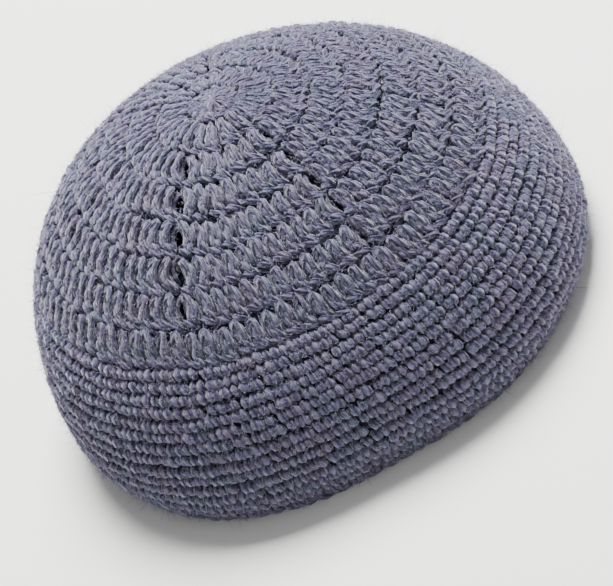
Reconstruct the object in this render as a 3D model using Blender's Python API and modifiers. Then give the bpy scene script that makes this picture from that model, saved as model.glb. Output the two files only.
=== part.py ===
"""A crocheted prayer cap: one soft shell, worked in rounds from the crown to the rim.

The cap stands on its rim, with its front towards +X, its left side towards +Y and
+Z up. Each round lies a set share of the way down every meridian.
"""
import math

import bmesh
import bpy
import numpy as np
from mathutils import Matrix

# Outer form of the cap, in metres
HALF_LENGTH = 0.0915
HALF_WIDTH = 0.0887
LEFT_SWELL = 0.0403
BACK_SWELL = 0.0040
HEIGHT = 0.0935
WIDEST_HEIGHT = 0.0137
LEFT_LEAN = 0.0565
BACK_LEAN = 0.0035
FRONT_FALL = 0.0068
WALL = 0.0040

# Shape of a meridian: how square its shoulder and its top are, 2 being an ellipse
SHOULDER_POWER = 2.18
TOP_POWER = 2.12
LEAN_POWER = 1.6

# How far the rim draws in from the widest round, as shares of the plan's radius
TUCK_SHARE = 0.082
FRONT_TUCK_SHARE = 0.016

# The rounds: tall ones on the crown, short ones on the band
FIRST_ROUND = 0.0092
TALL_ROUND = 0.0122
SHORT_ROUND = 0.0042
TALL_ROUNDS = 8
SHORT_ROUNDS = 15
TALL_RIB = 0.0008
SHORT_RIB = 0.0005

# The lines of open stitches where the crown is widened, from the middle of the right side
PANELS = 7
LINE_START_SHARE = -0.0793
EYELET_WIDTH = 0.0024
EYELET_LENGTH = 0.0056
EYELET_SIDES = 8
# Columns: round that the eyelets are in, their size as a share of the full one
EYELETS = (
    (3, 0.80),
    (4, 0.95),
    (5, 1.00),
    (6, 1.00),
    (7, 0.80),
)

# Fineness of the mesh
COLUMNS = 42
CROWN_STEPS = 120
BAND_STEPS = 40
PLAN_STEPS = 720
RIM_ALLOWANCE = 0.004
WELD = 0.00001

# How many times a cutter is larger than what it cuts
OVERSHOOT = 4.0

YARN_COLOUR = (0.135, 0.133, 0.185, 1.0)


def plan_radius(angle):
    """Distance from the plan's centre to the widest round: an oval fuller on the left and back."""
    oval = 1.0 / np.hypot(np.cos(angle) / HALF_LENGTH, np.sin(angle) / HALF_WIDTH)
    swell = LEFT_SWELL / HALF_WIDTH * np.sin(angle) - BACK_SWELL / HALF_LENGTH * np.cos(angle)
    return oval * (1.0 + swell)


def angle_at(part):
    """The plan angle that is a part of the way round the widest round from the right side."""
    angles = np.linspace(-math.pi / 2, 1.5 * math.pi, PLAN_STEPS + 1)
    radius = plan_radius(angles)
    steps = np.hypot(np.diff(radius * np.cos(angles)), np.diff(radius * np.sin(angles)))
    length = np.concatenate([[0.0], np.cumsum(steps)])
    return float(np.interp((part % 1.0) * length[-1], length, angles))


def meridian(angle):
    """Points of one meridian from the crown to the rim, as rows of x, y and z.

    The crown part is a superellipse whose top lies to the left. On the left side it
    runs straight out from there, and on the right side it leans over with height.
    Below the widest round the band draws in as the square of the way down.
    """
    turn = np.linspace(0.0, math.pi / 2, CROWN_STEPS)
    down = np.linspace(0.0, 1.0, BAND_STEPS)[1:]
    spread = np.concatenate([np.sin(turn) ** (2.0 / SHOULDER_POWER), np.ones(len(down))])
    rise = np.concatenate([np.cos(turn) ** (2.0 / TOP_POWER), np.zeros(len(down))])
    sink = np.concatenate([np.zeros(len(turn)), down])

    left = (1.0 + math.sin(angle)) / 2
    lean = left * (1.0 - spread) + (1.0 - left) * rise ** LEAN_POWER
    tuck = TUCK_SHARE + FRONT_TUCK_SHARE * math.cos(angle)
    out = plan_radius(angle) * spread * (1.0 - tuck * sink ** 2)
    along = out * math.cos(angle)
    height = WIDEST_HEIGHT * (1.0 - sink) + (HEIGHT - WIDEST_HEIGHT) * rise
    height = height * (1.0 - FRONT_FALL / HEIGHT * along / HALF_LENGTH)
    return np.stack([along - BACK_LEAN * lean, out * math.sin(angle) + LEFT_LEAN * lean, height], axis=1)


def points_down(line, shares):
    """The points that are these shares of the way down a meridian's length."""
    steps = np.linalg.norm(np.diff(line, axis=0), axis=1)
    length = np.concatenate([[0.0], np.cumsum(steps)]) / steps.sum()
    return np.stack([np.interp(shares, length, line[:, axis]) for axis in range(3)], axis=1)


def round_ends():
    """How far down a meridian each round ends, as shares, with the crown's 0 first."""
    heights = [FIRST_ROUND] + [TALL_ROUND] * (TALL_ROUNDS - 1) + [SHORT_ROUND] * SHORT_ROUNDS
    ends = np.concatenate([[0.0], np.cumsum(heights)])
    return ends / ends[-1]


def mesh_rows():
    """Shares and reliefs of the mesh's rows: a rib in each round's middle, a groove at its end."""
    ends = round_ends()
    shares = [0.0]
    reliefs = [0.0]
    for number in range(1, len(ends)):
        groove = TALL_RIB if number <= TALL_ROUNDS else SHORT_RIB
        shares += [(ends[number - 1] + ends[number]) / 2, ends[number]]
        reliefs += [0.0, groove]
    return np.array(shares), np.array(reliefs)


def outer_columns():
    """Columns of outer points, each one down a meridian, with a spare point below the rim."""
    shares, reliefs = mesh_rows()
    heart = np.array([-BACK_LEAN / 2, LEFT_LEAN / 2, WIDEST_HEIGHT])
    columns = []
    for number in range(COLUMNS):
        points = points_down(meridian(angle_at(number / COLUMNS)), shares)
        inward = heart - points
        inward /= np.linalg.norm(inward, axis=1)[:, None]
        points += inward * reliefs[:, None]
        last = points[-1] - points[-2]
        columns.append(np.vstack([points, points[-1] - last * RIM_ALLOWANCE / last[2]]))
    return np.array(columns)


def centring(columns):
    """The sideways move that puts the middle of the cap's box over the origin."""
    points = columns[:, :-1].reshape(-1, 3)
    middle = (points.min(axis=0) + points.max(axis=0)) / 2
    return np.array([middle[0], middle[1], 0.0])


def link(name, body, collection):
    """A new object from a bmesh, in a collection."""
    mesh = bpy.data.meshes.new(name)
    body.to_mesh(mesh)
    body.free()
    thing = bpy.data.objects.new(name, mesh)
    collection.objects.link(thing)
    return thing


def yarn_material():
    """Soft blue-grey wool yarn."""
    material = bpy.data.materials.new("wool_yarn")
    material.use_nodes = True
    shader = material.node_tree.nodes["Principled BSDF"]
    shader.inputs["Base Color"].default_value = YARN_COLOUR
    shader.inputs["Roughness"].default_value = 0.9
    shader.inputs["Metallic"].default_value = 0.0
    return material


def shell(columns):
    """A grid bent into the cap: its X runs round the cap, its Y from the rim up to the crown."""
    spans = columns.shape[1] - 1
    body = bmesh.new()
    bmesh.ops.create_grid(body, x_segments=COLUMNS, y_segments=spans, size=1.0)
    for vert in body.verts:
        column = round((vert.co.x + 1.0) / 2 * COLUMNS) % COLUMNS
        row = round((1.0 - vert.co.y) / 2 * spans)
        vert.co = columns[column][row]
    bmesh.ops.remove_doubles(body, verts=body.verts, dist=WELD)
    bmesh.ops.recalc_face_normals(body, faces=body.faces)
    for face in body.faces:
        face.smooth = True
    return body


def rim_block():
    """A block below the floor that trims the rim flat."""
    body = bmesh.new()
    width = OVERSHOOT * (HALF_LENGTH + HALF_WIDTH)
    depth = OVERSHOOT * (RIM_ALLOWANCE + WALL)
    place = Matrix.Translation((0.0, 0.0, -depth / 2)) @ Matrix.Diagonal((width, width, depth, 1.0))
    bmesh.ops.create_cube(body, size=1.0, matrix=place)
    return body


def eyelet_frame(part, share, shift):
    """A frame at an eyelet's centre, with X round the cap, Y down the round and Z outwards."""
    spread = 0.5 / PLAN_STEPS
    rise = 0.5 / CROWN_STEPS
    shares = np.array([share - rise, share, share + rise])
    above, centre, below = points_down(meridian(angle_at(part)), shares)
    ahead, behind = (points_down(meridian(angle_at(part + step)), np.array([share]))[0]
                     for step in (spread, -spread))
    down = (below - above) / np.linalg.norm(below - above)
    out = np.cross(below - above, ahead - behind)
    out = out / np.linalg.norm(out)
    frame = Matrix.Identity(4)
    for axis, direction in enumerate((np.cross(down, out), down, out)):
        frame.col[axis].xyz = direction
    frame.col[3].xyz = centre - shift - out * WALL / 2
    return frame


def eyelet_pins(shift):
    """An oval pin through the wall for every eyelet."""
    ends = round_ends()
    body = bmesh.new()
    for number, size in EYELETS:
        share = (ends[number - 1] + ends[number]) / 2
        oval = Matrix.Diagonal((EYELET_WIDTH * size / 2, EYELET_LENGTH * size / 2, 1.0, 1.0))
        for panel in range(PANELS):
            frame = eyelet_frame(LINE_START_SHARE + panel / PANELS, share, shift)
            bmesh.ops.create_cone(body, cap_ends=True, segments=EYELET_SIDES, radius1=1.0,
                                  radius2=1.0, depth=OVERSHOOT * WALL, matrix=frame @ oval)
    bmesh.ops.recalc_face_normals(body, faces=body.faces)
    return body


def cut(thing, cutter):
    """Takes a cutter's shape out of an object."""
    cutter.hide_render = True
    cutter.display_type = "WIRE"
    boolean = thing.modifiers.new(cutter.name, "BOOLEAN")
    boolean.operation = "DIFFERENCE"
    boolean.solver = "EXACT"
    boolean.object = cutter


def build():
    """The cap and its cutters."""
    for thing in list(bpy.data.objects):
        bpy.data.objects.remove(thing, do_unlink=True)
    parts = bpy.data.collections.new("crocheted_prayer_cap")
    cutters = bpy.data.collections.new("cutters")
    for collection in (parts, cutters):
        bpy.context.scene.collection.children.link(collection)

    columns = outer_columns()
    shift = centring(columns)
    cap = link("cap", shell(columns - shift), parts)
    cap.data.materials.append(yarn_material())

    wall = cap.modifiers.new("wall", "SOLIDIFY")
    wall.thickness = WALL
    wall.offset = -1.0
    wall.use_even_offset = True
    cut(cap, link("rim_block", rim_block(), cutters))
    cut(cap, link("eyelet_pins", eyelet_pins(shift), cutters))


build()
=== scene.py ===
"""Dresses the crocheted prayer cap in yarn, stitch by stitch, and sets it on a pale floor."""
import math

import bpy
import numpy as np
from mathutils import Matrix, Vector


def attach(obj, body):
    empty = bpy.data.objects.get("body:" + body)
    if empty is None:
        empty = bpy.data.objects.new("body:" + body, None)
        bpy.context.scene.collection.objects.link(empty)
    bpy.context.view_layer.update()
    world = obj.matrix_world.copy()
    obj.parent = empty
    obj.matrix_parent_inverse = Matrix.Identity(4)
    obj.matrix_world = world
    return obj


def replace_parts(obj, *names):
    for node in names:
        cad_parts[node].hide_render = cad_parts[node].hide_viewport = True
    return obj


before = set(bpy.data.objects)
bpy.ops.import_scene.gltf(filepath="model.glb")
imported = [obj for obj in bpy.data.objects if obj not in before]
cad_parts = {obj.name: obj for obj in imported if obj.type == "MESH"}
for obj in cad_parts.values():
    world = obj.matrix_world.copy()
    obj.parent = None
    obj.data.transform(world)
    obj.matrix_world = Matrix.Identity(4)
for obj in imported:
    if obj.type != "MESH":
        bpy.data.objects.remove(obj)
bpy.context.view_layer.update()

bl_info = {
    "name": "Crocheted prayer cap",
    "version": (1, 0, 0),
    "blender": (4, 5, 0),
    "location": "3D View > Sidebar > Cap",
    "description": "Makes a soft brimless cap, crocheted in rounds from one plied wool yarn",
    "category": "Add Mesh",
}

MM = 0.001

# Shortest length that a vector is divided by
LEAST_LENGTH = 1e-12

# Stitches in one panel of each tall round, counted out from the crown
PANEL_STITCHES = (2, 4, 6, 8, 10, 11, 12, 13)

# Openness of each widening line, as a share of the full eyelet: the first is drawn widest
LINE_WIDTHS = (1.25, 0.9, 0.7, 0.7, 0.7, 0.7, 0.7)

# Openness of the widening line in each tall round, as a share of the full eyelet
LINE_OPENNESS = (0.0, 0.25, 0.80, 0.95, 1.00, 1.00, 0.80, 0.15)

# Paths of one stitch's strands. Columns: way along the stitch's width from its middle,
# way down its round, depth under the surface in yarn radii, thickness in yarn radii
ARCH_OF_TALL_STITCH = (
    (-0.36, 0.64, 2.8, 0.60),
    (-0.38, 0.46, 1.7, 0.90),
    (-0.37, 0.25, 1.0, 1.00),
    (-0.30, 0.09, 0.8, 1.02),
    (-0.17, 0.03, 0.8, 1.02),
    (-0.02, 0.09, 0.6, 1.05),
    (0.11, 0.25, 0.4, 1.08),
    (0.23, 0.44, 0.6, 1.05),
    (0.33, 0.61, 1.3, 0.92),
    (0.40, 0.73, 2.5, 0.55),
)
HEART_OF_TALL_STITCH = (
    (-0.22, 0.14, 2.4, 0.60),
    (-0.17, 0.22, 1.5, 0.92),
    (-0.08, 0.36, 1.0, 1.02),
    (0.03, 0.52, 1.0, 1.02),
    (0.12, 0.65, 1.7, 0.90),
    (0.20, 0.75, 2.6, 0.55),
)
POST_OF_TALL_STITCH = (
    (-0.34, 0.30, 2.7, 0.60),
    (-0.30, 0.40, 1.7, 0.95),
    (-0.21, 0.54, 1.0, 1.05),
    (-0.08, 0.67, 0.9, 1.05),
    (0.05, 0.77, 1.6, 0.90),
    (0.14, 0.84, 2.6, 0.55),
)
WRAP_OF_TALL_STITCH = (
    (-0.28, 0.58, 2.6, 0.55),
    (-0.18, 0.60, 1.6, 0.95),
    (0.04, 0.66, 0.9, 1.08),
    (0.26, 0.76, 0.9, 1.08),
    (0.42, 0.84, 1.6, 0.90),
    (0.50, 0.89, 2.6, 0.55),
)
CHAIN_OF_TALL_STITCH = (
    (-0.56, 0.79, 2.6, 0.65),
    (-0.42, 0.80, 1.6, 1.00),
    (-0.22, 0.82, 1.05, 1.10),
    (0.00, 0.86, 0.95, 1.12),
    (0.20, 0.89, 1.15, 1.08),
    (0.38, 0.92, 1.8, 0.95),
    (0.50, 0.94, 2.7, 0.60),
)
SIDE_OF_TALL_STITCH = (
    (0.42, 0.02, 2.7, 0.80),
    (0.45, 0.18, 2.3, 0.95),
    (0.49, 0.40, 2.2, 1.00),
    (0.55, 0.62, 2.2, 1.00),
    (0.60, 0.80, 2.6, 0.80),
)
BACK_OF_TALL_STITCH = (
    (0.06, 0.02, 2.8, 0.95),
    (0.10, 0.20, 3.2, 1.15),
    (0.02, 0.45, 3.3, 1.25),
    (-0.04, 0.70, 3.2, 1.15),
    (-0.06, 0.92, 2.9, 1.05),
)
RIDGE_OF_TALL_STITCH = (
    (-0.55, 0.96, 2.8, 0.90),
    (-0.28, 0.99, 3.0, 1.10),
    (0.00, 0.98, 3.0, 1.15),
    (0.28, 0.96, 3.0, 1.10),
    (0.55, 0.98, 2.8, 0.90),
)
LEFT_KNOB_OF_SHORT_STITCH = (
    (-0.40, 0.03, 2.7, 0.45),
    (-0.36, 0.20, 1.4, 0.88),
    (-0.29, 0.38, 0.78, 1.10),
    (-0.22, 0.56, 0.85, 1.10),
    (-0.16, 0.75, 1.5, 0.86),
    (-0.12, 0.93, 2.7, 0.45),
)
RIGHT_KNOB_OF_SHORT_STITCH = (
    (0.10, 0.01, 2.7, 0.45),
    (0.14, 0.18, 1.3, 0.90),
    (0.20, 0.36, 0.68, 1.13),
    (0.27, 0.54, 0.75, 1.13),
    (0.33, 0.73, 1.4, 0.88),
    (0.37, 0.91, 2.7, 0.45),
)
LOOP_OF_SHORT_STITCH = (
    (-0.50, 0.90, 2.5, 0.75),
    (-0.20, 0.96, 2.1, 0.88),
    (0.10, 0.97, 2.1, 0.88),
    (0.42, 1.04, 2.5, 0.75),
)
BACK_OF_SHORT_STITCH = (
    (-0.54, 0.50, 2.5, 0.90),
    (-0.20, 0.48, 2.4, 1.00),
    (0.14, 0.50, 2.4, 1.00),
    (0.48, 0.52, 2.5, 0.90),
)
OUTER_EDGE_CHAIN = (
    (-0.58, 0.72, 2.0, 0.55),
    (-0.38, 0.82, 0.9, 0.92),
    (0.00, 0.90, 0.5, 1.05),
    (0.36, 0.98, 0.8, 0.95),
    (0.58, 1.04, 1.8, 0.60),
)
INNER_EDGE_CHAIN = (
    (-0.58, 1.02, 1.8, 0.55),
    (-0.36, 0.96, 2.6, 0.92),
    (0.00, 0.90, 2.9, 1.05),
    (0.36, 0.84, 2.6, 0.95),
    (0.58, 0.78, 1.9, 0.60),
)

# Columns: a strand's path, rings along it, sides round it
STRANDS_OF_TALL_STITCH = (
    (ARCH_OF_TALL_STITCH, 12, 8),
    (HEART_OF_TALL_STITCH, 6, 8),
    (POST_OF_TALL_STITCH, 6, 8),
    (WRAP_OF_TALL_STITCH, 6, 8),
    (CHAIN_OF_TALL_STITCH, 7, 8),
    (SIDE_OF_TALL_STITCH, 5, 5),
    (BACK_OF_TALL_STITCH, 5, 6),
    (RIDGE_OF_TALL_STITCH, 5, 6),
)
STRANDS_OF_SHORT_STITCH = (
    (LEFT_KNOB_OF_SHORT_STITCH, 6, 8),
    (RIGHT_KNOB_OF_SHORT_STITCH, 6, 8),
    (LOOP_OF_SHORT_STITCH, 4, 5),
    (BACK_OF_SHORT_STITCH, 4, 5),
)
STRANDS_OF_EDGE = (
    (OUTER_EDGE_CHAIN, 9, 8),
    (INNER_EDGE_CHAIN, 9, 8),
)

# Columns: a piece's name, its first and its last tall round
CROWN_PIECES = (
    ("crown_rounds", 1, 4),
    ("eyelet_rounds", 5, 6),
    ("shoulder_rounds", 7, 8),
)
BAND_PIECES = ("upper_band", "middle_band", "lower_band")

# Fineness of the surface: columns round the cap, rows down it, plan angles to a column,
# and steps of a meridian above and below the widest round
GRID_COLUMNS = 840
GRID_ROWS = 480
ANGLES_TO_A_COLUMN = 4
CROWN_STEPS = 160
TUCK_STEPS = 50

# Seeds of the random numbers. The stitches' seed has their round's number added
CROWN_SEED = 0
BAND_SEED = 10
EDGE_SEED = 20
HALO_SEED = 30
STITCH_SEED = 100

# How many times the unevenness a stitch strays in slant, and a strand in depth
SLANT_STRAY = 2.0
DEPTH_STRAY = 2.0

# Power of the way down a round, below one so that an eyelet is widest above its middle
EYELET_LIFT = 0.85

# Columns: a round's waves in one turn about the cap, how far they shift with each round
ROUND_WAVES = (
    (3, 1.7),
    (7, 2.9),
    (13, 0.8),
)

# A direction that hardly any strand follows, across which its first ring is started
ODD_WAY = (0.31, 0.42, 0.85)

# Millimetres of yarn between the starts of two strands, and after how many they begin again,
# so that neighbours don't show the same grain
STRAND_START = 7.3
START_RANGE = 50.0

# The core: its depths in yarn radii, where it starts and ends on the way down, and its grids
CORE_DEPTHS = (2.3, 3.2)
CORE_START = 0.002
CORE_END = 0.995
CORE_ROWS = 8
BAND_CORE_COLUMNS = 127
BAND_CORE_ROWS = 16

# How far a hair slants along the surface, and how far it lifts off it
HAIR_SLANT = 0.9
FIBRE_LIFT = 1.0
FUZZ_LIFT = 0.9

# How even the lengths are: the shape of a gamma distribution whose mean is one
FIBRE_EVENNESS = 4.0
FUZZ_EVENNESS = 9.0

# Loose fibres and fuzz, drawn thicker than real wool's 0.02 mm or so, which is too fine to
# show. The taper is in shares of the radius, and the bend in shares of the length
FIBRE_RADIUS = 0.00006
FIBRE_TAPER = (1.0, 0.8, 0.35)
FIBRE_SIDES = 3
FIBRE_BEND = 0.45
FUZZ_RADIUS = 0.00010

# Sizes of the wool's patterns, in metres
COLOUR_DRIFT = 0.009
COLOUR_FLECK = 0.0011
CORE_TUFT = 0.0012
PLY_RELIEF = 0.0005
TUFT_RELIEF = 0.0006

# The grooves between plies: how fast and how far they wander, and the power that rounds them
WANDERS_TO_A_MM = 0.55
PLY_WANDER = 0.3
PLY_POWER = 0.55

# The fibres' grain: about 1.1 mm long, a quarter of a ply wide, and a share of a ply high
GRAIN_SCALE = 2.0
GRAIN_STRETCH = (0.45, 2.2, 1.0)
GRAIN_HEIGHT = 1.2

# How many times paler than the yarn a loose fibre is painted: painted light, for the light that shines
# through it
HALO_PAINTED_LIGHT = 1.35

# The stage in metres, apart from the sensor, which is in millimetres
FLOOR_REACH = 6.0
KEY_WIDTH = 0.8
KEY_PLACE = (0.20, 0.75, 1.35)
FILL_WIDTH = 1.0
FILL_PLACE = (0.9, -1.0, 0.9)
SENSOR_WIDTH = 36.0


def linear(code):
    """An sRGB hex colour as linear red, green and blue.

    Each pair of digits over 255 is divided by 12.92 where it is dark, and elsewhere
    raised by 0.055, divided by 1.055 and put to the power of 2.4.
    """
    parts = [int(code[start:start + 2], 16) / 255 for start in (0, 2, 4)]
    return tuple(part / 12.92 if part <= 0.04045 else ((part + 0.055) / 1.055) ** 2.4
                 for part in parts)


class CapForm(bpy.types.PropertyGroup):
    """The cap's outer form"""

    half_length: bpy.props.FloatProperty(
        name="Half length", default=0.0915, unit="LENGTH",
        description="From the middle of the cap to its front, before it swells")
    half_width: bpy.props.FloatProperty(
        name="Half width", default=0.0887, unit="LENGTH",
        description="From the middle of the cap to its side, before it swells")
    left_swell: bpy.props.FloatProperty(
        name="Left swell", default=0.0403, unit="LENGTH",
        description="How much further the cap reaches on its left side, and less on its right")
    back_swell: bpy.props.FloatProperty(
        name="Back swell", default=0.0040, unit="LENGTH",
        description="How much further the cap reaches at its back, and less at its front")
    height: bpy.props.FloatProperty(
        name="Height", default=0.0935, unit="LENGTH",
        description="From the rim to the crown")
    widest_height: bpy.props.FloatProperty(
        name="Widest height", default=0.0137, unit="LENGTH",
        description="From the rim to the widest round")
    left_lean: bpy.props.FloatProperty(
        name="Left lean", default=0.0565, unit="LENGTH",
        description="How far the crown lies to the left")
    back_lean: bpy.props.FloatProperty(
        name="Back lean", default=0.0035, unit="LENGTH",
        description="How far the crown lies to the back")
    front_fall: bpy.props.FloatProperty(
        name="Front fall", default=0.0068, unit="LENGTH",
        description="How much lower the cap is towards its front")
    shoulder: bpy.props.FloatProperty(
        name="Shoulder", default=2.18,
        description="How square the cap's sides are, 2 being an ellipse")
    top: bpy.props.FloatProperty(
        name="Top", default=2.12,
        description="How flat the cap's top is, 2 being an ellipse")
    lean_fade: bpy.props.FloatProperty(
        name="Lean fade", default=1.6,
        description="How soon the lean fades below the crown")
    tuck: bpy.props.FloatProperty(
        name="Tuck", default=0.082, subtype="FACTOR",
        description="How far the rim draws in, as a share of the radius")
    front_tuck: bpy.props.FloatProperty(
        name="Front tuck", default=0.016, subtype="FACTOR",
        description="How much more the rim draws in at the front")


class CapStitches(bpy.types.PropertyGroup):
    """The cap's rounds and stitches"""

    first_round: bpy.props.FloatProperty(
        name="First round", default=0.0092, unit="LENGTH",
        description="Height of the round at the crown")
    tall_round: bpy.props.FloatProperty(
        name="Tall round", default=0.0122, unit="LENGTH",
        description="Height of a round on the crown")
    short_round: bpy.props.FloatProperty(
        name="Short round", default=0.0042, unit="LENGTH",
        description="Height of a round on the band")
    short_rounds: bpy.props.IntProperty(
        name="Short rounds", default=15, min=2,
        description="How many rounds the band has")
    panels: bpy.props.IntProperty(
        name="Panels", default=7, min=3,
        description="How many panels the widening lines divide the crown into")
    line_start: bpy.props.FloatProperty(
        name="Line start", default=-0.0793, subtype="FACTOR",
        description="Where the first widening line is, as a share of the way round")
    eyelet: bpy.props.FloatProperty(
        name="Eyelet", default=0.0036, unit="LENGTH",
        description="Width of a fully open eyelet between two panels")
    round_shift: bpy.props.FloatProperty(
        name="Round shift", default=0.27, subtype="FACTOR",
        description="How far each short round is set off from the one above, in stitches")
    unevenness: bpy.props.FloatProperty(
        name="Unevenness", default=0.06, subtype="FACTOR",
        description="How far strands stray from their places, as a share of their size")
    waver: bpy.props.FloatProperty(
        name="Waver", default=0.0006, unit="LENGTH",
        description="How far a round strays up and down along its way")


class CapYarn(bpy.types.PropertyGroup):
    """The yarn's thickness, plies, loose hairs and colours"""

    tall_radius: bpy.props.FloatProperty(
        name="Radius in tall stitches", default=0.00102, unit="LENGTH",
        description="Half the yarn's thickness where it lies loose")
    short_radius: bpy.props.FloatProperty(
        name="Radius in short stitches", default=0.00150, unit="LENGTH",
        description="Half the yarn's thickness where it bunches")
    plies: bpy.props.IntProperty(
        name="Plies", default=4, min=2,
        description="Plies twisted into the yarn")
    twist: bpy.props.FloatProperty(
        name="Twist", default=0.0190, unit="LENGTH",
        description="Length of yarn in which a ply goes once round")
    tall_plies: bpy.props.FloatProperty(
        name="Ply depth in tall stitches", default=0.26, subtype="FACTOR",
        description="Depth of the grooves between plies, as a share of the radius")
    short_plies: bpy.props.FloatProperty(
        name="Ply depth in short stitches", default=0.09, subtype="FACTOR",
        description="The same where the yarn bunches")
    loose_fibres: bpy.props.IntProperty(
        name="Loose fibres", default=6000, min=1,
        description="How many long fibres stand out of the fabric")
    loose_length: bpy.props.FloatProperty(
        name="Loose length", default=0.0024, unit="LENGTH",
        description="Mean length of a loose fibre")
    fuzz_hairs: bpy.props.IntProperty(
        name="Fuzz hairs", default=36000, min=1,
        description="How many short hairs lie over the yarn")
    fuzz_length: bpy.props.FloatProperty(
        name="Fuzz length", default=0.0015, unit="LENGTH",
        description="Mean length of a short hair")
    main: bpy.props.FloatVectorProperty(
        name="Main colour", subtype="COLOR", size=3, default=linear("696485"),
        description="Blue-grey of most fibres")
    cool: bpy.props.FloatVectorProperty(
        name="Cool fleck", subtype="COLOR", size=3, default=linear("5b667d"),
        description="Greener blue of some fibres")
    warm: bpy.props.FloatVectorProperty(
        name="Warm fleck", subtype="COLOR", size=3, default=linear("6d607d"),
        description="Mauve of some fibres")
    # Painted shade: a dark colour painted into the grooves between the plies and over the fabric core, where
    # the shade falls
    deep: bpy.props.FloatVectorProperty(
        name="Groove colour", subtype="COLOR", size=3, default=linear("232041"),
        description="Colour between the plies")


class CapStage(bpy.types.PropertyGroup):
    """The floor, the lights and the camera"""

    floor: bpy.props.FloatVectorProperty(
        name="Floor colour", subtype="COLOR", size=3, default=linear("fbfaf6"),
        description="Plain pale floor")
    key: bpy.props.FloatProperty(
        name="Key light", default=97.0, unit="POWER",
        description="Power of the large light overhead")
    fill: bpy.props.FloatProperty(
        name="Fill light", default=1.5, unit="POWER",
        description="Power of the light beside the camera")
    sky: bpy.props.FloatProperty(
        name="Sky", default=0.36,
        description="Strength of the even light all round")
    distance: bpy.props.FloatProperty(
        name="Camera distance", default=1.3665, unit="LENGTH",
        description="From the camera to the middle of the cap")
    azimuth: bpy.props.FloatProperty(
        name="Camera azimuth", default=-0.2195, unit="ROTATION",
        description="Way that the camera looks, turned from +Y towards +X")
    elevation: bpy.props.FloatProperty(
        name="Camera elevation", default=0.7163, unit="ROTATION",
        description="How far the camera looks down")
    roll: bpy.props.FloatProperty(
        name="Camera roll", default=-0.5791, unit="ROTATION",
        description="Camera's turn about its own axis")
    lens: bpy.props.FloatProperty(
        name="Lens", default=238.8, unit="CAMERA",
        description="Focal length in millimetres")


def unit(vectors):
    """Vectors over their own lengths."""
    return vectors / np.maximum(np.linalg.norm(vectors, axis=-1, keepdims=True), LEAST_LENGTH)


def round_ends(stitches):
    """How far down a meridian each round ends: the heights so far over all, with the crown's 0 first."""
    heights = [stitches.first_round] + [stitches.tall_round] * (len(PANEL_STITCHES) - 1)
    heights += [stitches.short_round] * stitches.short_rounds
    ends = np.concatenate([[0.0], np.cumsum(heights)])
    return ends / ends[-1]


def plan_radius(form, angle):
    """Radius of an ellipse times one plus a sine for the left swell, less a cosine for the back one."""
    oval = 1.0 / np.hypot(np.cos(angle) / form.half_length, np.sin(angle) / form.half_width)
    left = form.left_swell / form.half_width * np.sin(angle)
    back = form.back_swell / form.half_length * np.cos(angle)
    return oval * (1.0 + (left - back))


def even_angles(form):
    """Plan angles at even lengths round the widest round, from the middle of the right side."""
    angles = np.linspace(-math.pi / 2, 1.5 * math.pi, ANGLES_TO_A_COLUMN * GRID_COLUMNS + 1)
    radius = plan_radius(form, angles)
    steps = np.hypot(np.diff(radius * np.cos(angles)), np.diff(radius * np.sin(angles)))
    length = np.concatenate([[0.0], np.cumsum(steps)])
    return np.interp(np.arange(GRID_COLUMNS) / GRID_COLUMNS, length / length[-1], angles)


def meridians(form):
    """Points down every meridian, from the crown to the rim.

    A point's way out is the plan's radius times the sine of a turn raised to a power, and
    its height is the turn's cosine raised to another. Below the widest round the radius
    draws in as the square of the way down. On the left the lean fades as the way out
    grows, and on the right as a power of the height.
    """
    angle = even_angles(form)[:, None]
    turn = np.linspace(0.0, math.pi / 2, CROWN_STEPS)
    down = np.linspace(0.0, 1.0, TUCK_STEPS)[1:]
    spread = np.concatenate([np.sin(turn) ** (2.0 / form.shoulder), np.ones(len(down))])
    rise = np.concatenate([np.abs(np.cos(turn)) ** (2.0 / form.top), np.zeros(len(down))])
    sink = np.concatenate([np.zeros(len(turn)), down])
    left = (1.0 + np.sin(angle)) / 2
    lean = left * (1.0 - spread) + (1.0 - left) * rise ** form.lean_fade
    tuck = form.tuck + form.front_tuck * np.cos(angle)
    out = plan_radius(form, angle) * spread * (1.0 - tuck * sink ** 2)
    along = out * np.cos(angle)
    across = out * np.sin(angle) + form.left_lean * lean
    height = form.widest_height * (1.0 - sink) + (form.height - form.widest_height) * rise
    height = height * (1.0 - form.front_fall / form.height * along / form.half_length)
    return np.stack([along - form.back_lean * lean, across, height], axis=-1)


def plan_middle(lines):
    """The middle of the plan's box: its lowest and highest corners added and halved."""
    return (lines[..., :2].min(axis=(0, 1)) + lines[..., :2].max(axis=(0, 1))) / 2


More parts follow.
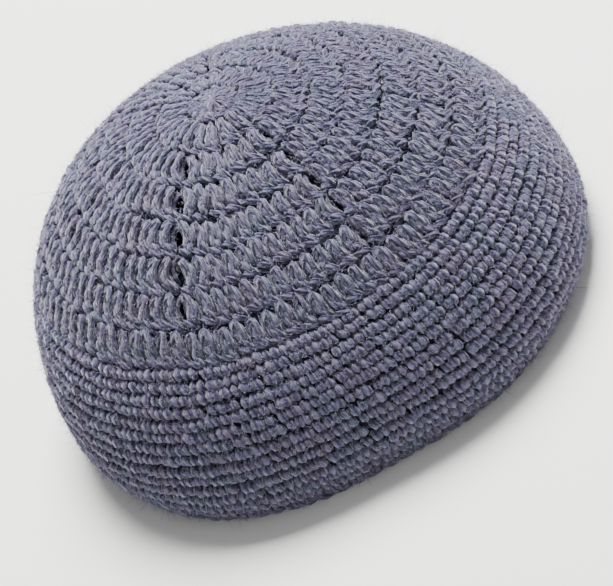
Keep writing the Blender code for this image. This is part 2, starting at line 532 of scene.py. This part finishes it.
class Fabric:
    """The cap's outer surface, read by the way round, the way down and the depth below it.

    Meridians stand at even lengths round the widest round, and a way down is a share of
    a meridian's length. A point is the average of the four grid points about it, each
    weighted by how near it is.
    """

    def __init__(self, form):
        lines = meridians(form)
        lines[..., :2] -= plan_middle(lines)
        steps = np.linalg.norm(np.diff(lines, axis=1), axis=2)
        length = np.concatenate([np.zeros((GRID_COLUMNS, 1)), np.cumsum(steps, axis=1)], axis=1)
        length /= length[:, -1:]
        # Each meridian's lengths start 2 after the last one's, so that one call reads them all
        apart = 2.0 * np.arange(GRID_COLUMNS)[:, None]
        known = (length + apart).ravel()
        wanted = np.linspace(0.0, 1.0, GRID_ROWS)[None, :] + apart
        self.points = np.stack([np.interp(wanted, known, lines[..., axis].ravel())
                                for axis in range(3)], axis=-1)
        across = np.roll(self.points, -1, axis=0) - np.roll(self.points, 1, axis=0)
        along = np.gradient(self.points, axis=1)
        self.normals = unit(np.cross(along, across))
        self.normals[:, 0] = unit(self.normals[:, 1].mean(axis=0))
        sides = np.roll(self.points, -1, axis=0) - self.points
        self.girths = np.linalg.norm(sides, axis=2).sum(axis=0)

    def read(self, around, down):
        """Points and normals at ways round and down."""
        column = np.mod(around, 1.0) * GRID_COLUMNS
        row = np.clip(down, 0.0, 1.0) * (GRID_ROWS - 1)
        left = np.floor(column).astype(int) % GRID_COLUMNS
        right = (left + 1) % GRID_COLUMNS
        above = np.minimum(np.floor(row).astype(int), GRID_ROWS - 2)
        beside = (column - np.floor(column))[..., None]
        below = (row - above)[..., None]
        mixed = []
        for grid in (self.points, self.normals):
            upper = grid[left, above] * (1 - beside) + grid[right, above] * beside
            lower = grid[left, above + 1] * (1 - beside) + grid[right, above + 1] * beside
            mixed.append(upper * (1 - below) + lower * below)
        return mixed[0], unit(mixed[1])

    def place(self, around, down, depth):
        """Points that lie a depth under the surface: the surface's own, less the normal times it."""
        points, normals = self.read(around, down)
        return points - normals * depth[..., None]

    def girth(self, down):
        """Length of the ring at a way down: its sides added up, and a millimetre at least."""
        return np.maximum(np.interp(down, np.linspace(0.0, 1.0, GRID_ROWS), self.girths), MM)


def smooth_path(path, rings):
    """A path through a table's rows at even steps: a cubic through each four neighbours."""
    rows = np.array(path)
    padded = np.vstack([2 * rows[0] - rows[1], rows, 2 * rows[-1] - rows[-2]])
    way = np.linspace(0.0, len(rows) - 1, rings)
    step = np.minimum(way.astype(int), len(rows) - 2)
    part = (way - step)[:, None]
    before, start, stop, after = (padded[step + offset] for offset in range(4))
    squared = 2 * before - 5 * start + 4 * stop - after
    cubed = 3 * start - before - 3 * stop + after
    return 0.5 * (2 * start + (stop - before) * part + squared * part ** 2 + cubed * part ** 3)


def stitch_strays(stitches, number, count):
    """How far each whole stitch of a round strays: down, along and in slant.

    The strays are normal random numbers times the unevenness. Every strand of a stitch
    gets the same ones, because each round has a seed of its own.
    """
    random = np.random.default_rng(STITCH_SEED + number)
    strays = random.normal(0.0, stitches.unevenness, (3, count, 1))
    strays[2] *= SLANT_STRAY
    return strays


def line_gap(fabric, stitches, number, panel, way, down):
    """Gap before and after each panel, as shares of the way round.

    Each is half an eyelet's width, times the openness of its round and its line, times
    the squared sine of the way down the round, over the length of the ring there.
    """
    opening = np.sin(math.pi * np.clip(way, 0.0, 1.0) ** EYELET_LIFT) ** 2
    full = stitches.eyelet * LINE_OPENNESS[number - 1] * opening / fabric.girth(down)
    widths = np.array(LINE_WIDTHS)
    before = widths[panel % len(widths)]
    after = widths[(panel + 1) % len(widths)]
    return full * before / 2, full * after / 2


def wavered(stitches, around, down, number):
    """Ways down with a round's slow waver added: the mean of some sines of the way round."""
    turn = 2 * math.pi * around
    wave = sum(np.sin(waves * turn + shift * number) for waves, shift in ROUND_WAVES)
    length = len(PANEL_STITCHES) * stitches.tall_round + stitches.short_rounds * stitches.short_round
    return down + wave / len(ROUND_WAVES) * stitches.waver / length


def tall_strands(fabric, stitches, radius, path, rings, rounds, random):
    """Centre lines and radii of one strand of every tall stitch in some rounds.

    A strand's way round is its panel's start, plus half of the widening line's gap, plus
    its share of what is left. Its way down is its round's top plus a share of the round's
    height. Half of its own stray and of its stitch's is added to both, and the stitch's
    slant times the way from the round's middle.
    """
    ends = round_ends(stitches)
    across, drop, depth, thickness = smooth_path(path, rings).T
    centres, radii = [], []
    for number in rounds:
        count = PANEL_STITCHES[number - 1]
        panel = np.repeat(np.arange(stitches.panels), count)[:, None]
        place = np.tile(np.arange(count), stitches.panels)[:, None]
        stray = random.normal(0.0, stitches.unevenness, (4, len(panel), 1))
        whole = stitch_strays(stitches, number, len(panel))
        height = ends[number] - ends[number - 1]
        down = ends[number - 1] + height * (drop + (stray[0] + whole[0]) / 2)
        before, after = line_gap(fabric, stitches, number, panel, drop, down)
        share = place + 0.5 + across + stray[1] / 2 + whole[1] / 2 + whole[2] * (drop - 0.5)
        around = stitches.line_start + panel / stitches.panels + before
        around = around + share / count * (1 / stitches.panels - before - after)
        down = wavered(stitches, around, down, number)
        centres.append(fabric.place(around, down, (depth + stray[2] * DEPTH_STRAY) * radius))
        radii.append(radius * thickness * (1.0 + stray[3]))
    return np.concatenate(centres), np.concatenate(radii)


def short_strands(fabric, stitches, radius, path, rings, rounds, random):
    """Centre lines and radii of one strand of every short stitch in some rounds.

    A strand's way round is its stitch's place, set off a little more with every round.
    Its way down is its round's top plus a share of the round's height. Strays are added as
    in the tall stitches, apart from the stitch's stray along its round, which counts whole.
    """
    ends = round_ends(stitches)
    across, drop, depth, thickness = smooth_path(path, rings).T
    count = PANEL_STITCHES[-1] * stitches.panels
    centres, radii = [], []
    for number in rounds:
        top = len(PANEL_STITCHES) + number - 1
        stray = random.normal(0.0, stitches.unevenness, (4, count, 1))
        whole = stitch_strays(stitches, top + 1, count)
        place = np.arange(count)[:, None] + 0.5 + stitches.round_shift * number
        share = (place + across + stray[1] / 2 + whole[1] + whole[2] * (drop - 0.5)) / count
        height = ends[top + 1] - ends[top]
        down = ends[top] + height * (drop + (stray[0] + whole[0]) / 2)
        down = wavered(stitches, share, down, top)
        around = stitches.line_start + share
        centres.append(fabric.place(around, down, (depth + stray[2] * DEPTH_STRAY) * radius))
        radii.append(radius * thickness * (1.0 + stray[3]))
    return np.concatenate(centres), np.concatenate(radii)


def tube_points(centres, radii, sides, yarn, ply_depth):
    """Rings of points round many paths at once, and how far along the yarn each ring is.

    Each ring lies about its path's point, across its direction. Its start is carried from
    ring to ring, then turned once for each length of the yarn's twist. With two sides to
    a ply, a ring is a circle that every other side dents, so the plies show as lobes.
    """
    strands, rings = radii.shape
    heading = unit(np.gradient(centres, axis=1))
    side = np.empty_like(centres)
    side[:, 0] = unit(np.cross(heading[:, 0], np.array(ODD_WAY)))
    for ring in range(1, rings):
        carried = side[:, ring - 1]
        ahead = (carried * heading[:, ring]).sum(axis=1, keepdims=True) * heading[:, ring]
        side[:, ring] = unit(carried - ahead)
    other = np.cross(heading, side)
    steps = np.linalg.norm(np.diff(centres, axis=1), axis=2) / MM
    begun = (np.arange(strands)[:, None] * STRAND_START) % START_RANGE
    length = begun + np.concatenate([np.zeros((strands, 1)), np.cumsum(steps, axis=1)], axis=1)
    start = np.arange(sides) / sides * 2 * math.pi
    turn = (start + 2 * math.pi * length[:, :, None] * MM / yarn.twist)[..., None]
    lobe = ply_depth * np.cos(yarn.plies * start) if sides == 2 * yarn.plies else np.zeros(sides)
    circle = side[:, :, None] * np.cos(turn) + other[:, :, None] * np.sin(turn)
    points = centres[:, :, None] + circle * (radii[:, :, None] * (1.0 + lobe))[..., None]
    return points.reshape(-1, 3), length


def tube_faces(strands, rings, sides):
    """Corners and sizes of many tubes' faces: four corners between two rings, and a lid on each end."""
    first = (np.arange(strands) * rings * sides)[:, None, None]
    near_ring = first + np.arange(rings - 1)[None, :, None] * sides
    far_ring = near_ring + sides
    near = np.arange(sides)
    far = (near + 1) % sides
    walls = np.stack([near_ring + near, near_ring + far, far_ring + far, far_ring + near], axis=-1)
    foot = first[:, 0] + near[::-1]
    head = first[:, 0] + (rings - 1) * sides + near
    lids = np.concatenate([foot, head], axis=1)
    corners = np.concatenate([walls.reshape(-1), lids.reshape(-1)])
    sizes = np.concatenate([np.full(walls.size // 4, 4), np.full(2 * strands, sides)])
    return corners, sizes


def tube_map(length, sides):
    """The yarn's own map at each corner: the length along it in millimetres, and the way round it."""
    near = np.arange(sides)
    low, high = length[:, :-1], length[:, 1:]
    shape = (*low.shape, sides, 4)
    along = np.broadcast_to(np.stack([low, low, high, high], axis=-1)[:, :, None], shape)
    across = np.broadcast_to((near[:, None] + np.array([0, 1, 1, 0])) / sides, shape)
    lids_along = np.repeat(length[:, [0, -1]], sides, axis=1)
    lids_across = np.tile(np.concatenate([near[::-1], near]) / sides, len(length))
    return np.stack([np.concatenate([along.reshape(-1), lids_along.reshape(-1)]),
                     np.concatenate([across.reshape(-1), lids_across])], axis=1)


def tubes(centres, radii, sides, yarn, ply_depth):
    """Closed tubes along many paths at once, as points, faces' corners and sizes, and a map."""
    points, length = tube_points(centres, radii, sides, yarn, ply_depth)
    corners, sizes = tube_faces(*radii.shape, sides)
    return points, corners, sizes, tube_map(length, sides)


def slab(fabric, around, down, upper, lower):
    """A thin closed slab under the surface: a grid at one depth, the same grid deeper, and walls between."""
    outer = fabric.place(around, down, np.full(around.shape, upper))
    inner = fabric.place(around, down, np.full(around.shape, lower))
    points = np.concatenate([outer.reshape(-1, 3), inner.reshape(-1, 3)])
    below = around.size
    index = np.arange(below).reshape(around.shape)
    top = [index[:-1, :-1], index[:-1, 1:], index[1:, 1:], index[1:, :-1]]
    top = np.stack(top, axis=-1).reshape(-1, 4)
    bottom = top[:, ::-1] + below
    border = np.concatenate([index[:, 0], index[-1, 1:], index[-2::-1, -1], index[0, -2:0:-1]])
    after = np.roll(border, -1)
    walls = np.stack([border, after, after + below, border + below], axis=1)
    corners = np.concatenate([top, bottom, walls]).reshape(-1)
    return points, corners, np.full(len(corners) // 4, 4), np.zeros((len(corners), 2))


def hair_roots(fabric, count, lift, random):
    """Roots spread evenly over the fabric, and a heading for each: a lift off it plus a slant along it."""
    ways = np.linspace(0.0, 1.0, GRID_ROWS)
    spread = np.cumsum(fabric.girths)
    down = np.interp(random.random(count), spread / spread[-1], ways)
    root, normal = fabric.read(random.random(count), down)
    slant = random.normal(0.0, HAIR_SLANT, (count, 3))
    return root, unit(lift * normal + slant - (slant * normal).sum(axis=1, keepdims=True) * normal)


def spikes(roots, tips, radius):
    """Closed spikes: three points round each root, at thirds of a turn, and one at its tip."""
    count = len(roots)
    heading = unit(tips - roots)
    side = unit(np.cross(heading, np.array(ODD_WAY)))
    other = np.cross(heading, side)
    turn = np.arange(3)[None, :, None] * 2 * math.pi / 3
    ring = roots[:, None] + radius * (side[:, None] * np.cos(turn) + other[:, None] * np.sin(turn))
    points = np.concatenate([ring, tips[:, None]], axis=1).reshape(-1, 3)
    faces = np.array([[0, 1, 3], [1, 2, 3], [2, 0, 3], [2, 1, 0]])
    corners = (faces[None] + 4 * np.arange(count)[:, None, None]).reshape(-1)
    return points, corners, np.full(4 * count, 3), np.zeros((len(corners), 2))


def joined(parts):
    """Several sets of points, corners, face sizes and maps as one set."""
    points, corners, sizes, maps = zip(*parts)
    offsets = np.cumsum([0] + [len(part) for part in points[:-1]])
    corners = [part + offset for part, offset in zip(corners, offsets)]
    return tuple(np.concatenate(group) for group in (points, corners, sizes, maps))


def put(name, data):
    """Puts an object in the scene, in place of an older one of that name."""
    old = bpy.data.objects.get(name)
    if old:
        bpy.data.objects.remove(old, do_unlink=True)
    thing = bpy.data.objects.new(name, data)
    bpy.context.scene.collection.objects.link(thing)
    return thing


def make_piece(name, shape, material):
    """A mesh object from points, corners, face sizes and a map. Nothing reaches below the floor."""
    points, corners, sizes, mapped = shape
    points = points.copy()
    points[:, 2] = np.maximum(points[:, 2], 0.0)
    starts = np.concatenate([[0], np.cumsum(sizes)[:-1]])
    mesh = bpy.data.meshes.new(name)
    mesh.vertices.add(len(points))
    mesh.vertices.foreach_set("co", points.astype(np.float32).ravel())
    mesh.loops.add(len(corners))
    mesh.loops.foreach_set("vertex_index", corners.astype(np.int32))
    mesh.polygons.add(len(sizes))
    mesh.polygons.foreach_set("loop_start", starts.astype(np.int32))
    mesh.polygons.foreach_set("use_smooth", np.ones(len(sizes), dtype=bool))
    mesh.update(calc_edges=True)
    layer = mesh.uv_layers.new(name="yarn")
    layer.data.foreach_set("uv", mapped.astype(np.float32).ravel())
    mesh.validate()
    mesh.materials.append(material)
    thing = put(name, mesh)
    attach(thing, "root")
    return thing


def add_node(tree, kind, settings=None, **inputs):
    """Adds a node, sets its properties, and sets or links its inputs.

    An input goes by its name, with a _ for a space, or by an i and its number.
    """
    made = tree.nodes.new(kind)
    for key, value in (settings or {}).items():
        setattr(made, key, value)
    for key, value in inputs.items():
        numbered = key[0] == "i" and key[1:].isdigit()
        spot = made.inputs[int(key[1:]) if numbered else key.replace("_", " ")]
        if isinstance(value, bpy.types.NodeSocket):
            tree.links.new(value, spot)
        else:
            spot.default_value = value
    return made


def new_material(name):
    """A new material, in place of an older one of that name, with its output and a Principled shader."""
    material = bpy.data.materials.get(name)
    if material:
        bpy.data.materials.remove(material)
    material = bpy.data.materials.new(name)
    material.use_nodes = True
    material.node_tree.nodes.clear()
    tree = material.node_tree
    shader = add_node(tree, "ShaderNodeBsdfPrincipled", Metallic=0.0, IOR=1.5)
    add_node(tree, "ShaderNodeOutputMaterial", Surface=shader.outputs["BSDF"])
    return material, tree, shader


def heather(tree, yarn):
    """Colour of mixed wool: it drifts between a blue-grey, a greener blue and a mauve, with flecks."""
    place = add_node(tree, "ShaderNodeTexCoord").outputs["Object"]
    drift = add_node(tree, "ShaderNodeTexNoise", Vector=place, Scale=1.0 / COLOUR_DRIFT, Detail=2.0,
                     Roughness=0.5)
    fleck = add_node(tree, "ShaderNodeTexNoise", Vector=place, Scale=1.0 / COLOUR_FLECK, Detail=1.0,
                     Roughness=0.6)
    cool = add_node(tree, "ShaderNodeMapRange", Value=drift.outputs["Fac"], From_Min=0.52,
                    From_Max=0.68, To_Max=0.75)
    warm = add_node(tree, "ShaderNodeMapRange", Value=drift.outputs["Fac"], From_Min=0.48,
                    From_Max=0.34, To_Max=0.75)
    first = add_node(tree, "ShaderNodeMix", {"data_type": "RGBA"}, Factor=cool.outputs["Result"],
                     i6=(*yarn.main, 1.0), i7=(*yarn.cool, 1.0))
    second = add_node(tree, "ShaderNodeMix", {"data_type": "RGBA"}, Factor=warm.outputs["Result"],
                      i6=first.outputs[2], i7=(*yarn.warm, 1.0))
    shade = add_node(tree, "ShaderNodeMapRange", Value=fleck.outputs["Fac"], From_Min=0.3,
                     From_Max=0.7, To_Min=0.80, To_Max=1.18)
    flecked = add_node(tree, "ShaderNodeVectorMath", {"operation": "SCALE"}, i0=second.outputs[2],
                       Scale=shade.outputs["Result"])
    return flecked.outputs[0]


def plied_wool(yarn):
    """Worsted wool, spun and plied: matt, with a soft sheen, and plies that wind round the yarn.

    The plies give the eye slanting light and dark lines along every strand: their relief is shaded, and the
    grooves between them are darkened with painted shade. The fibres between them give a fine grain, painted
    lighter on its raised streaks as painted highlights and darker on its low ones as painted shade, over the
    fibres' own uneven tone. A ply's ridge is the size of a cosine of the way round the yarn, raised to a
    power.
    """
    material, tree, shader = new_material("plied_wool")
    split = add_node(tree, "ShaderNodeSeparateXYZ", i0=add_node(tree, "ShaderNodeTexCoord").outputs["UV"])
    across = add_node(tree, "ShaderNodeMath", {"operation": "MULTIPLY"}, i0=split.outputs["Y"],
                      i1=float(yarn.plies))
    place = add_node(tree, "ShaderNodeCombineXYZ", X=split.outputs["X"], Y=across.outputs[0])
    wander = add_node(tree, "ShaderNodeTexNoise", Vector=place.outputs[0], Scale=WANDERS_TO_A_MM,
                      Detail=1.0, Roughness=0.5)
    phase = add_node(tree, "ShaderNodeMath", {"operation": "MULTIPLY_ADD"}, i0=wander.outputs["Fac"],
                     i1=PLY_WANDER, i2=across.outputs[0])
    wave = add_node(tree, "ShaderNodeMath", {"operation": "MULTIPLY"}, i0=phase.outputs[0], i1=math.pi)
    sine = add_node(tree, "ShaderNodeMath", {"operation": "COSINE"}, i0=wave.outputs[0])
    ply = add_node(tree, "ShaderNodeMath", {"operation": "ABSOLUTE"}, i0=sine.outputs[0])
    ridge = add_node(tree, "ShaderNodeMath", {"operation": "POWER"}, i0=ply.outputs[0], i1=PLY_POWER)
    grain_place = add_node(tree, "ShaderNodeVectorMath", {"operation": "MULTIPLY"}, i0=place.outputs[0],
                           i1=GRAIN_STRETCH)
    grain = add_node(tree, "ShaderNodeTexNoise", Vector=grain_place.outputs[0], Scale=GRAIN_SCALE,
                     Detail=3.0, Roughness=0.65)
    height = add_node(tree, "ShaderNodeMath", {"operation": "MULTIPLY_ADD"}, i0=grain.outputs["Fac"],
                      i1=GRAIN_HEIGHT, i2=ridge.outputs[0])
    bump = add_node(tree, "ShaderNodeBump", Strength=1.0, Distance=PLY_RELIEF, Height=height.outputs[0])
    # Painted shade: where the plies meet, the colour is mixed towards the dark groove shade
    groove = add_node(tree, "ShaderNodeMapRange", Value=ridge.outputs[0], From_Min=0.35, From_Max=0.95,
                      To_Min=0.05)
    colour = add_node(tree, "ShaderNodeMix", {"data_type": "RGBA"}, Factor=groove.outputs["Result"],
                      i6=(*yarn.deep, 1.0), i7=heather(tree, yarn))
    # Painted highlight and shade: the grain's raised streaks are painted lighter and its low ones darker,
    # over the fibres' own uneven tone
    grain_tone_and_highlight = add_node(tree, "ShaderNodeMapRange", Value=grain.outputs["Fac"], From_Min=0.32,
                      From_Max=0.68, To_Min=0.52, To_Max=1.42)
    toned = add_node(tree, "ShaderNodeVectorMath", {"operation": "SCALE"}, i0=colour.outputs[2],
                     Scale=grain_tone_and_highlight.outputs["Result"])
    tree.links.new(toned.outputs[0], shader.inputs["Base Color"])
    tree.links.new(bump.outputs[0], shader.inputs["Normal"])
    shader.inputs["Roughness"].default_value = 0.85
    shader.inputs["Sheen Weight"].default_value = 0.5
    shader.inputs["Sheen Roughness"].default_value = 0.45
    shader.inputs["Specular IOR Level"].default_value = 0.25
    return material


def wool_core(yarn):
    """The wool far down between the stitches, coloured with the painted groove shade: darker, since light
    reaches it only through them.
    """
    material, tree, shader = new_material("wool_core")
    place = add_node(tree, "ShaderNodeTexCoord").outputs["Object"]
    tuft = add_node(tree, "ShaderNodeTexNoise", Vector=place, Scale=1.0 / CORE_TUFT, Detail=3.0,
                    Roughness=0.6)
    bump = add_node(tree, "ShaderNodeBump", Strength=0.9, Distance=TUFT_RELIEF,
                    Height=tuft.outputs["Fac"])
    # Painted shade: the core takes the dark groove shade, lighter and darker with its tufts
    tone = add_node(tree, "ShaderNodeMapRange", Value=tuft.outputs["Fac"], From_Min=0.3, From_Max=0.7,
                    To_Min=0.4, To_Max=0.9)
    colour = add_node(tree, "ShaderNodeVectorMath", {"operation": "SCALE"}, i0=tuple(yarn.deep),
                      Scale=tone.outputs["Result"])
    tree.links.new(colour.outputs[0], shader.inputs["Base Color"])
    tree.links.new(bump.outputs[0], shader.inputs["Normal"])
    shader.inputs["Roughness"].default_value = 0.95
    return material


def loose_wool(yarn):
    """Loose fibre ends: a paler grey halo, painted lighter than the yarn as painted light, since each fibre
    is lit through.
    """
    material, tree, shader = new_material("loose_wool")
    # Painted light: the heather made paler, for the light that shines through each fibre
    pale = add_node(tree, "ShaderNodeVectorMath", {"operation": "SCALE"}, i0=heather(tree, yarn),
                    Scale=HALO_PAINTED_LIGHT)
    tree.links.new(pale.outputs[0], shader.inputs["Base Color"])
    shader.inputs["Roughness"].default_value = 0.7
    shader.inputs["Sheen Weight"].default_value = 0.6
    shader.inputs["Sheen Roughness"].default_value = 0.4
    return material


def matt_paper(colour):
    """Seamless background paper, uncoated: plain and matt, so that it shows only the soft shadow."""
    material, tree, shader = new_material("matt_paper")
    shader.inputs["Base Color"].default_value = (*colour, 1.0)
    shader.inputs["Roughness"].default_value = 0.9
    return material


def material_for(maker, yarn):
    """The material that a function makes, made once."""
    return bpy.data.materials.get(maker.__name__) or maker(yarn)


def cap_settings():
    """The fabric that the scene's form gives, with its stitches and its yarn."""
    scene = bpy.context.scene
    return Fabric(scene.cap_form), scene.cap_stitches, scene.cap_yarn


class CAP_OT_crown(bpy.types.Operator):
    """Crochets the tall rounds of the crown, with eyelets in the widening lines"""
    bl_idname = "cap.crown"
    bl_label = "Crown rounds"

    def execute(self, context):
        fabric, stitches, yarn = cap_settings()
        wool = material_for(plied_wool, yarn)
        for number, (name, first, last) in enumerate(CROWN_PIECES):
            random = np.random.default_rng(CROWN_SEED + number)
            rounds = range(first, last + 1)
            parts = []
            for path, rings, sides in STRANDS_OF_TALL_STITCH:
                strands = tall_strands(fabric, stitches, yarn.tall_radius, path, rings, rounds, random)
                parts.append(tubes(*strands, sides, yarn, yarn.tall_plies))
            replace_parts(make_piece(name, joined(parts), wool), "cap")
        return {"FINISHED"}


class CAP_OT_band(bpy.types.Operator):
    """Crochets the short rounds of the band"""
    bl_idname = "cap.band"
    bl_label = "Band rounds"

    def execute(self, context):
        fabric, stitches, yarn = cap_settings()
        wool = material_for(plied_wool, yarn)
        firsts = np.linspace(1, stitches.short_rounds + 1, len(BAND_PIECES) + 1).astype(int)
        for number, name in enumerate(BAND_PIECES):
            random = np.random.default_rng(BAND_SEED + number)
            rounds = range(firsts[number], firsts[number + 1])
            parts = []
            for path, rings, sides in STRANDS_OF_SHORT_STITCH:
                strands = short_strands(fabric, stitches, yarn.short_radius, path, rings, rounds, random)
                parts.append(tubes(*strands, sides, yarn, yarn.short_plies))
            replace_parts(make_piece(name, joined(parts), wool), "cap")
        return {"FINISHED"}


class CAP_OT_edge(bpy.types.Operator):
    """Finishes the rim with the chain of its last round"""
    bl_idname = "cap.edge"
    bl_label = "Rim edge"

    def execute(self, context):
        fabric, stitches, yarn = cap_settings()
        random = np.random.default_rng(EDGE_SEED)
        rounds = [stitches.short_rounds]
        parts = []
        for path, rings, sides in STRANDS_OF_EDGE:
            strands = short_strands(fabric, stitches, yarn.short_radius, path, rings, rounds, random)
            parts.append(tubes(*strands, sides, yarn, yarn.short_plies))
        make_piece("rim_edge", joined(parts), material_for(plied_wool, yarn))
        return {"FINISHED"}


class CAP_OT_core(bpy.types.Operator):
    """Fills the middle of the fabric, apart from the eyelets"""
    bl_idname = "cap.core"
    bl_label = "Fabric core"

    def execute(self, context):
        fabric, stitches, yarn = cap_settings()
        ends = round_ends(stitches)
        upper, lower = (depth * yarn.tall_radius for depth in CORE_DEPTHS)
        parts = []
        for number, count in enumerate(PANEL_STITCHES, start=1):
            share, way = np.meshgrid(np.linspace(0.0, 1.0, 2 * count + 1),
                                     np.linspace(0.0, 1.0, CORE_ROWS), indexing="ij")
            down = ends[number - 1] + way * (ends[number] - ends[number - 1])
            down = np.maximum(down, CORE_START)
            for panel in range(stitches.panels):
                before, after = line_gap(fabric, stitches, number, np.full(1, panel), way, down)
                around = stitches.line_start + panel / stitches.panels + before
                around = around + share * (1 / stitches.panels - before - after)
                parts.append(slab(fabric, around, down, upper, lower))
        share, down = np.meshgrid(np.linspace(0.0, 1.0, BAND_CORE_COLUMNS),
                                  np.linspace(ends[len(PANEL_STITCHES)], CORE_END, BAND_CORE_ROWS),
                                  indexing="ij")
        parts.append(slab(fabric, stitches.line_start + share, down, upper, lower))
        # The core stands for the yarn in the fabric's middle, and is painted dark as painted shade for the
        # shade between the stitches
        make_piece("fabric_core", joined(parts), material_for(wool_core, yarn))
        return {"FINISHED"}


class CAP_OT_halo(bpy.types.Operator):
    """Adds the loose fibres and the fuzz that stand out of the yarn"""
    bl_idname = "cap.halo"
    bl_label = "Loose fibres"

    def execute(self, context):
        fabric, stitches, yarn = cap_settings()
        wool = material_for(loose_wool, yarn)
        random = np.random.default_rng(HALO_SEED)

        # A loose fibre runs along its heading, and bends aside as the square of the way out
        root, heading = hair_roots(fabric, yarn.loose_fibres, FIBRE_LIFT, random)
        bend = random.normal(0.0, FIBRE_BEND, root.shape)
        length = yarn.loose_length * random.gamma(FIBRE_EVENNESS, 1 / FIBRE_EVENNESS, len(root))[:, None]
        way = np.linspace(0.0, 1.0, len(FIBRE_TAPER))[None, :, None]
        centres = root[:, None] + length[:, None] * (heading[:, None] * way + bend[:, None] * way ** 2)
        radii = np.broadcast_to(FIBRE_RADIUS * np.array(FIBRE_TAPER), (len(root), len(FIBRE_TAPER)))
        make_piece("loose_fibres", tubes(centres, radii, FIBRE_SIDES, yarn, 0.0), wool)

        root, heading = hair_roots(fabric, yarn.fuzz_hairs, FUZZ_LIFT, random)
        length = yarn.fuzz_length * random.gamma(FUZZ_EVENNESS, 1 / FUZZ_EVENNESS, len(root))[:, None]
        make_piece("fuzz", spikes(root, root + heading * length, FUZZ_RADIUS), wool)
        return {"FINISHED"}


def make_floor(stage):
    """A flat square of paper, as wide as twice its reach."""
    reach = FLOOR_REACH
    corners = [(-reach, -reach, 0), (reach, -reach, 0), (reach, reach, 0), (-reach, reach, 0)]
    mesh = bpy.data.meshes.new("floor")
    mesh.from_pydata(corners, [], [(0, 1, 2, 3)])
    mesh.materials.append(matt_paper(stage.floor))
    put("floor", mesh)


def make_light(name, power, width, place, middle):
    """A square light that faces the middle of the cap."""
    light = bpy.data.lights.new(name, "AREA")
    light.energy = power
    light.size = width
    lamp = put(name, light)
    lamp.location = place
    lamp.rotation_euler = (middle - Vector(place)).to_track_quat("-Z", "Y").to_euler()


def make_sky(strength):
    """Even white light from all round."""
    world = bpy.data.worlds.new("studio")
    world.use_nodes = True
    background = world.node_tree.nodes["Background"]
    background.inputs["Color"].default_value = (1.0, 1.0, 1.0, 1.0)
    background.inputs["Strength"].default_value = strength
    bpy.context.scene.world = world


def make_camera(stage, aim):
    """A camera at its distance from the aim, against its heading.

    The heading is the sines and cosines of the azimuth and the elevation. Right and up
    stand across it, and are turned about it by the roll.
    """
    level = math.cos(stage.elevation)
    ahead = Vector((math.sin(stage.azimuth) * level, math.cos(stage.azimuth) * level,
                    -math.sin(stage.elevation)))
    right = Vector((math.cos(stage.azimuth), -math.sin(stage.azimuth), 0.0))
    up = right.cross(ahead)
    turned_right = math.cos(stage.roll) * right + math.sin(stage.roll) * up
    turned_up = math.cos(stage.roll) * up - math.sin(stage.roll) * right
    camera = bpy.data.cameras.new("camera")
    camera.lens = stage.lens
    camera.sensor_width = SENSOR_WIDTH
    camera.dof.use_dof = False
    eye = put("camera", camera)
    turn = Matrix((turned_right, turned_up, -ahead)).transposed().to_4x4()
    eye.matrix_world = Matrix.Translation(aim - ahead * stage.distance) @ turn
    bpy.context.scene.camera = eye


class CAP_OT_stage(bpy.types.Operator):
    """Sets the floor, the soft lights and the camera"""
    bl_idname = "cap.stage"
    bl_label = "Floor, lights and camera"

    def execute(self, context):
        stage = context.scene.cap_stage
        form = context.scene.cap_form
        middle = Vector((0.0, 0.0, form.height / 2))
        make_floor(stage)
        make_light("key_light", stage.key, KEY_WIDTH, KEY_PLACE, middle)
        make_light("fill_light", stage.fill, FILL_WIDTH, FILL_PLACE, middle)
        make_sky(stage.sky)
        # The camera aims at the middle of the plan's oval, which the cap's box is centred away from
        make_camera(stage, Vector((*-plan_middle(meridians(form)), form.height / 2)))
        return {"FINISHED"}


class CAP_PT_panel(bpy.types.Panel):
    """Lists the cap's steps and its sizes and colours"""
    bl_idname = "CAP_PT_panel"
    bl_label = "Crocheted cap"
    bl_space_type = "VIEW_3D"
    bl_region_type = "UI"
    bl_category = "Cap"

    def draw(self, context):
        column = self.layout.column()
        for operator in OPERATORS:
            column.operator(operator.bl_idname)
        for group in GROUPS:
            box = column.box()
            owner = getattr(context.scene, group)
            for name in owner.bl_rna.properties.keys():
                if name not in ("rna_type", "name"):
                    box.prop(owner, name)


GROUPS = {"cap_form": CapForm, "cap_stitches": CapStitches, "cap_yarn": CapYarn, "cap_stage": CapStage}
OPERATORS = (CAP_OT_stage, CAP_OT_crown, CAP_OT_band, CAP_OT_edge, CAP_OT_core, CAP_OT_halo)
CLASSES = (*GROUPS.values(), *OPERATORS, CAP_PT_panel)


def register():
    """Tells Blender of the classes, and gives each scene its settings."""
    for item in CLASSES:
        bpy.utils.register_class(item)
    for name, group in GROUPS.items():
        setattr(bpy.types.Scene, name, bpy.props.PointerProperty(type=group))


def unregister():
    """Takes the settings and the classes away again."""
    for name in GROUPS:
        delattr(bpy.types.Scene, name)
    for item in reversed(CLASSES):
        bpy.utils.unregister_class(item)


def main():
    """Makes the whole scene."""
    register()
    cap = bpy.ops.cap
    for step in (cap.stage, cap.crown, cap.band, cap.edge, cap.core, cap.halo):
        step()
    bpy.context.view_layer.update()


if __name__ == "__main__":
    main()
